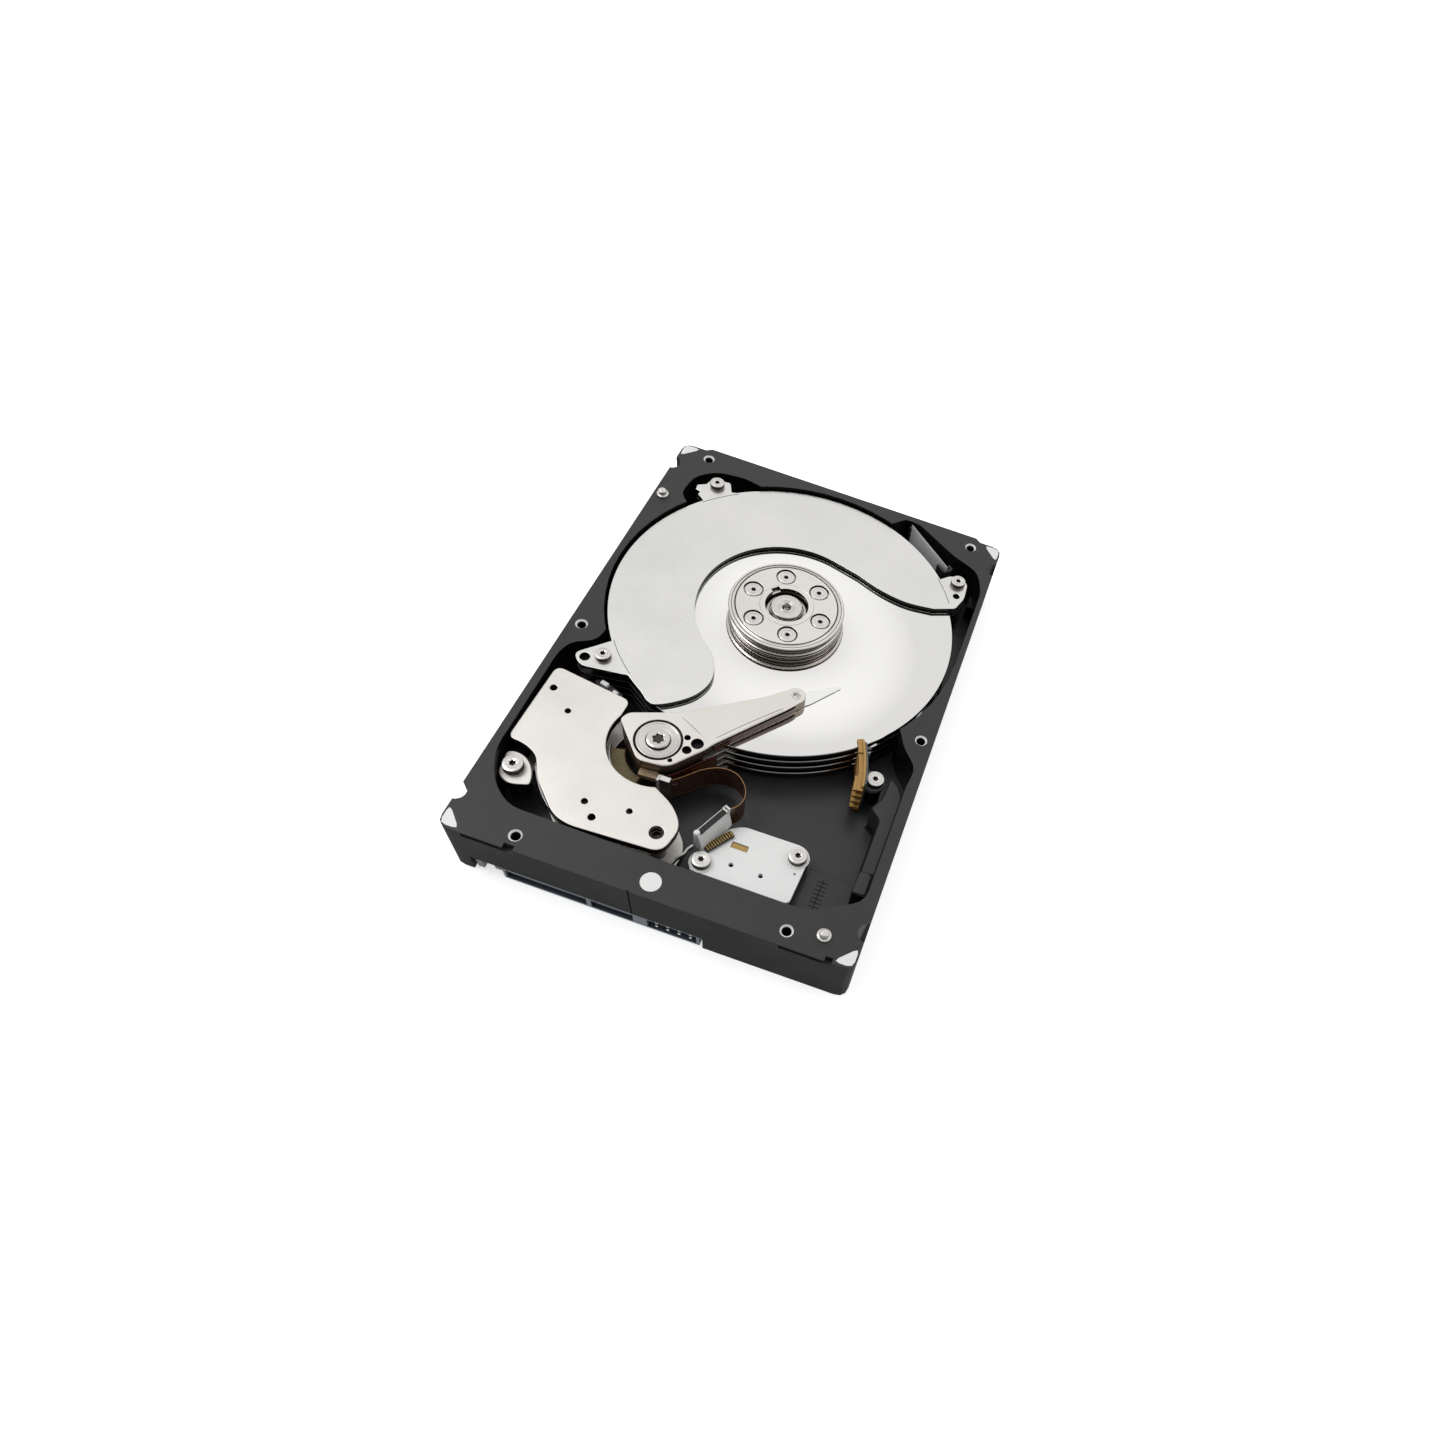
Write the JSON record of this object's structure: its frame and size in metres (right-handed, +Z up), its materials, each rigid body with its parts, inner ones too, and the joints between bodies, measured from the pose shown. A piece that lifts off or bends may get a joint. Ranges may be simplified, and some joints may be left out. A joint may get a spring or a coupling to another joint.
{
  "type": "hard disk drive",
  "caption": "Hard disk drive with its cover off: base casting, spinning disk stack, swinging head actuator, voice-coil motor, ramp and circuit board.",
  "frame": {"origin": "middle of the footprint, on the plane that the bottom rails stand on", "axes": "+Z up out of the open top, +Y away from the connector end, +X to the right seen from the connector end with the open side up"},
  "size_m": [0.1016, 0.147, 0.0194],
  "materials": {
    "coated_casting": "satin black-grey coating on cast aluminium",
    "platter": "mirror-polished coated disk",
    "machined_steel": "fine turned steel",
    "nickel_plate": "satin nickel plating",
    "bare_aluminium": "satin rolled aluminium",
    "screw_steel": "bright zinc plating",
    "copper": "enamelled copper wire",
    "magnet": "nickel-plated magnet",
    "cast_aluminium": "milled aluminium",
    "spring_steel": "polished stainless sheet",
    "polyimide": "translucent amber film",
    "tan_plastic": "moulded resin",
    "black_plastic": "moulded resin",
    "connector_plastic": "glass-filled moulded resin",
    "board_laminate": "solder-masked laminate",
    "filter_cloth": "non-woven filter cloth",
    "gold_contacts": "gold-plated contacts",
    "rubber": "moulded elastomer",
    "white_steel": "bright plated sheet steel"
  },
  "bodies": {
    "base": {"base_casting": "coated_casting", "locating_pin_rear": "screw_steel", "locating_pin_front": "screw_steel", "spindle_motor_base": "machined_steel", "stator_core": "copper", "air_damper_1": "bare_aluminium", "air_damper_2": "bare_aluminium", "air_damper_3": "bare_aluminium", "air_damper_4": "bare_aluminium", "damper_screw_1": "screw_steel", "damper_screw_2": "screw_steel", "damper_screw_3": "screw_steel", "yoke_plate_bottom": "nickel_plate", "yoke_plate_top": "nickel_plate", "voice_coil_magnet_bottom": "magnet", "voice_coil_magnet_top": "magnet", "yoke_corner_clamp": "nickel_plate", "yoke_screw": "screw_steel", "crash_stop_outer": "rubber", "crash_stop_inner": "rubber", "pivot_shaft": "screw_steel", "flex_cable": "polyimide", "flex_bracket": "white_steel", "bracket_screw_1": "screw_steel", "bracket_screw_2": "screw_steel", "header_connector": "gold_contacts", "load_ramp": "tan_plastic", "ramp_screw": "screw_steel", "filter_frame": "black_plastic", "filter_pouch": "filter_cloth", "circuit_board": "board_laminate", "controller_chip": "black_plastic", "motor_driver_chip": "black_plastic", "board_screw": "screw_steel", "interface_connector": "connector_plastic"},
    "spindle": {"spindle_hub": "bare_aluminium", "rotor_magnet": "magnet", "platter_1": "platter", "platter_2": "platter", "platter_3": "platter", "platter_4": "platter", "platter_spacer_1": "bare_aluminium", "platter_spacer_2": "bare_aluminium", "platter_spacer_3": "bare_aluminium", "disk_clamp": "nickel_plate", "clamp_screw_1": "screw_steel", "clamp_screw_2": "screw_steel", "clamp_screw_3": "screw_steel", "clamp_screw_4": "screw_steel", "clamp_screw_5": "screw_steel", "clamp_screw_6": "screw_steel"},
    "actuator": {"arm_block": "cast_aluminium", "pivot_bearing": "machined_steel", "voice_coil": "copper", "head_suspension_1": "spring_steel", "head_suspension_2": "spring_steel", "head_suspension_3": "spring_steel", "head_suspension_4": "spring_steel", "head_suspension_5": "spring_steel", "preamp_board": "polyimide"}
  },
  "joints": [
    {"name": "spindle_spin", "type": "hinge", "parent": "base", "child": "spindle", "pos_m": [0, 0.0221, 0], "axis": [0, 0, 1], "continuous": true},
    {"name": "actuator_swing", "type": "hinge", "parent": "base", "child": "actuator", "pos_m": [-0.0141, -0.0326, 0], "axis": [0, 0, 1], "range_deg": [-34, 9], "deforming": ["flex_cable"]}
  ]
}
